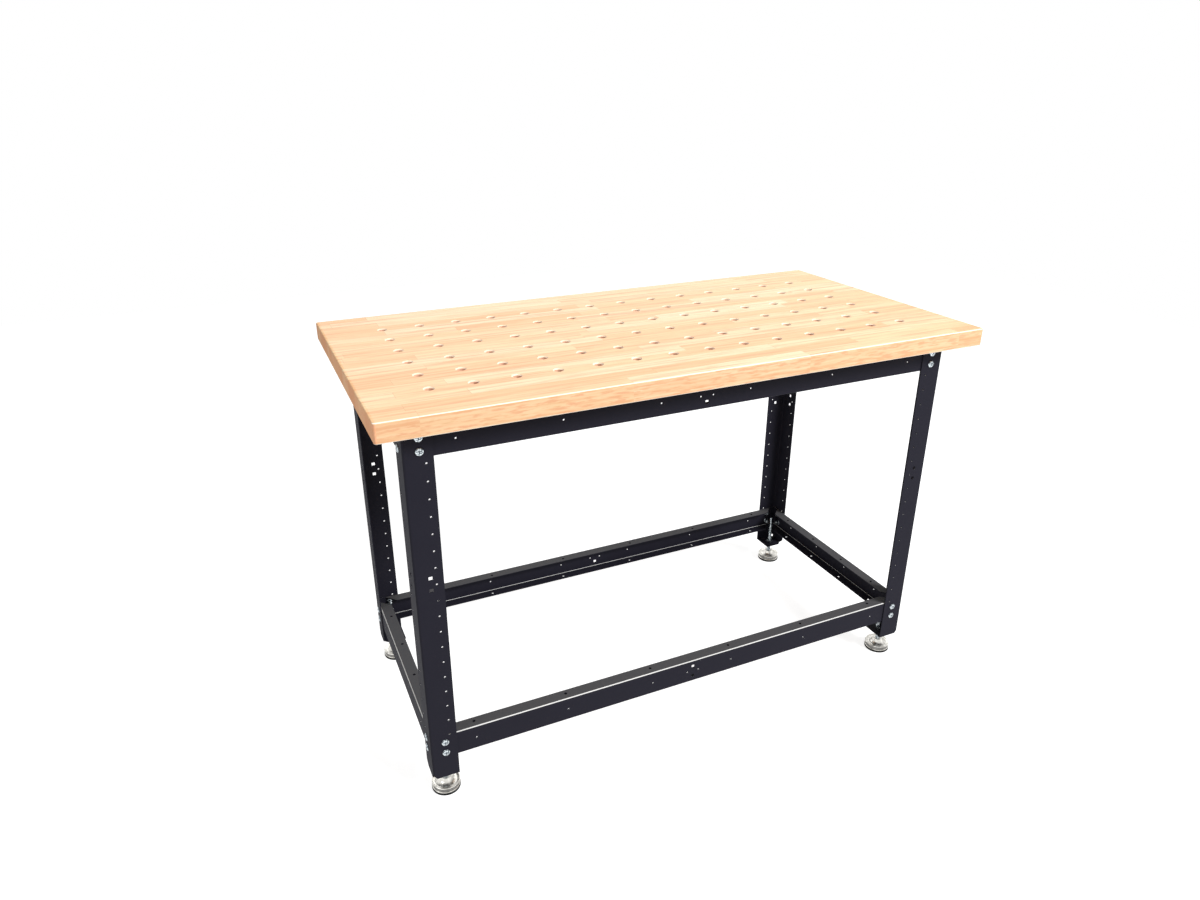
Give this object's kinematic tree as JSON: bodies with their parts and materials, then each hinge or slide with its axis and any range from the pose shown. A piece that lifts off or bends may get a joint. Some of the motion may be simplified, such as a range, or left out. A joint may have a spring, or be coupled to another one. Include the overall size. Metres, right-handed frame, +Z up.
{
  "type": "assembly table",
  "caption": "Standing-height assembly table: a thick butcher-block top with a grid of bench-dog holes on a bolted frame of folded black steel with levelling feet.",
  "frame": {"origin": "on the floor under the middle of the top, with the levelling feet as pictured", "axes": "+X along the table's length, +Y from front to back, +Z up"},
  "size_m": [1.524, 0.762, 1.0056],
  "materials": {
    "maple": "clear satin lacquer",
    "black_paint": "black powder coat",
    "zinc": "bright zinc plate",
    "nickel": "nickel plate",
    "rubber": "matt black rubber"
  },
  "bodies": {
    "frame": {"top": "maple", "leg_front_left": "black_paint", "leg_front_right": "black_paint", "leg_back_left": "black_paint", "leg_back_right": "black_paint", "apron_front": "black_paint", "apron_back": "black_paint", "apron_left": "black_paint", "apron_right": "black_paint", "rail_front": "black_paint", "rail_back": "black_paint", "rail_left": "black_paint", "rail_right": "black_paint", "bolt_front_left_face_lower_1": "zinc", "bolt_front_left_end_lower_1": "zinc", "bolt_front_left_face_lower_2": "zinc", "bolt_front_left_end_lower_2": "zinc", "bolt_front_left_face_upper_1": "zinc", "bolt_front_left_end_upper_1": "zinc", "bolt_front_left_face_upper_2": "zinc", "bolt_front_left_end_upper_2": "zinc", "bolt_front_right_face_lower_1": "zinc", "bolt_front_right_end_lower_1": "zinc", "bolt_front_right_face_lower_2": "zinc", "bolt_front_right_end_lower_2": "zinc", "bolt_front_right_face_upper_1": "zinc", "bolt_front_right_end_upper_1": "zinc", "bolt_front_right_face_upper_2": "zinc", "bolt_front_right_end_upper_2": "zinc", "bolt_back_left_face_lower_1": "zinc", "bolt_back_left_end_lower_1": "zinc", "bolt_back_left_face_lower_2": "zinc", "bolt_back_left_end_lower_2": "zinc", "bolt_back_left_face_upper_1": "zinc", "bolt_back_left_end_upper_1": "zinc", "bolt_back_left_face_upper_2": "zinc", "bolt_back_left_end_upper_2": "zinc", "bolt_back_right_face_lower_1": "zinc", "bolt_back_right_end_lower_1": "zinc", "bolt_back_right_face_lower_2": "zinc", "bolt_back_right_end_lower_2": "zinc", "bolt_back_right_face_upper_1": "zinc", "bolt_back_right_end_upper_1": "zinc", "bolt_back_right_face_upper_2": "zinc", "bolt_back_right_end_upper_2": "zinc"},
    "foot_front_left": {"pad_front_left": "nickel", "sole_front_left": "rubber"},
    "screw_front_left": {"stud_front_left": "zinc"},
    "foot_front_right": {"pad_front_right": "nickel", "sole_front_right": "rubber"},
    "screw_front_right": {"stud_front_right": "zinc"},
    "foot_back_left": {"pad_back_left": "nickel", "sole_back_left": "rubber"},
    "screw_back_left": {"stud_back_left": "zinc"},
    "foot_back_right": {"pad_back_right": "nickel", "sole_back_right": "rubber"},
    "screw_back_right": {"stud_back_right": "zinc"}
  },
  "joints": [
    {"name": "height_front_left", "type": "slide", "parent": "frame", "child": "foot_front_left", "axis": [0, 0, 1], "range_m": [-0.075, 0.025]},
    {"name": "screw_front_left", "type": "hinge", "parent": "foot_front_left", "child": "screw_front_left", "pos_m": [-0.6655, -0.282, 0.03], "axis": [0, 0, 1], "range_deg": [-15440, 5150]},
    {"name": "height_front_right", "type": "slide", "parent": "frame", "child": "foot_front_right", "axis": [0, 0, 1], "range_m": [-0.075, 0.025]},
    {"name": "screw_front_right", "type": "hinge", "parent": "foot_front_right", "child": "screw_front_right", "pos_m": [0.6655, -0.282, 0.03], "axis": [0, 0, 1], "range_deg": [-15440, 5150]},
    {"name": "height_back_left", "type": "slide", "parent": "frame", "child": "foot_back_left", "axis": [0, 0, 1], "range_m": [-0.075, 0.025]},
    {"name": "screw_back_left", "type": "hinge", "parent": "foot_back_left", "child": "screw_back_left", "pos_m": [-0.6655, 0.282, 0.03], "axis": [0, 0, 1], "range_deg": [-15440, 5150]},
    {"name": "height_back_right", "type": "slide", "parent": "frame", "child": "foot_back_right", "axis": [0, 0, 1], "range_m": [-0.075, 0.025]},
    {"name": "screw_back_right", "type": "hinge", "parent": "foot_back_right", "child": "screw_back_right", "pos_m": [0.6655, 0.282, 0.03], "axis": [0, 0, 1], "range_deg": [-15440, 5150]}
  ],
  "couplings": [
    {"joint": "screw_front_left", "follows": "height_front_left", "rad_per_m": 3590.4},
    {"joint": "screw_front_right", "follows": "height_front_right", "rad_per_m": 3590.4},
    {"joint": "screw_back_left", "follows": "height_back_left", "rad_per_m": 3590.4},
    {"joint": "screw_back_right", "follows": "height_back_right", "rad_per_m": 3590.4}
  ]
}
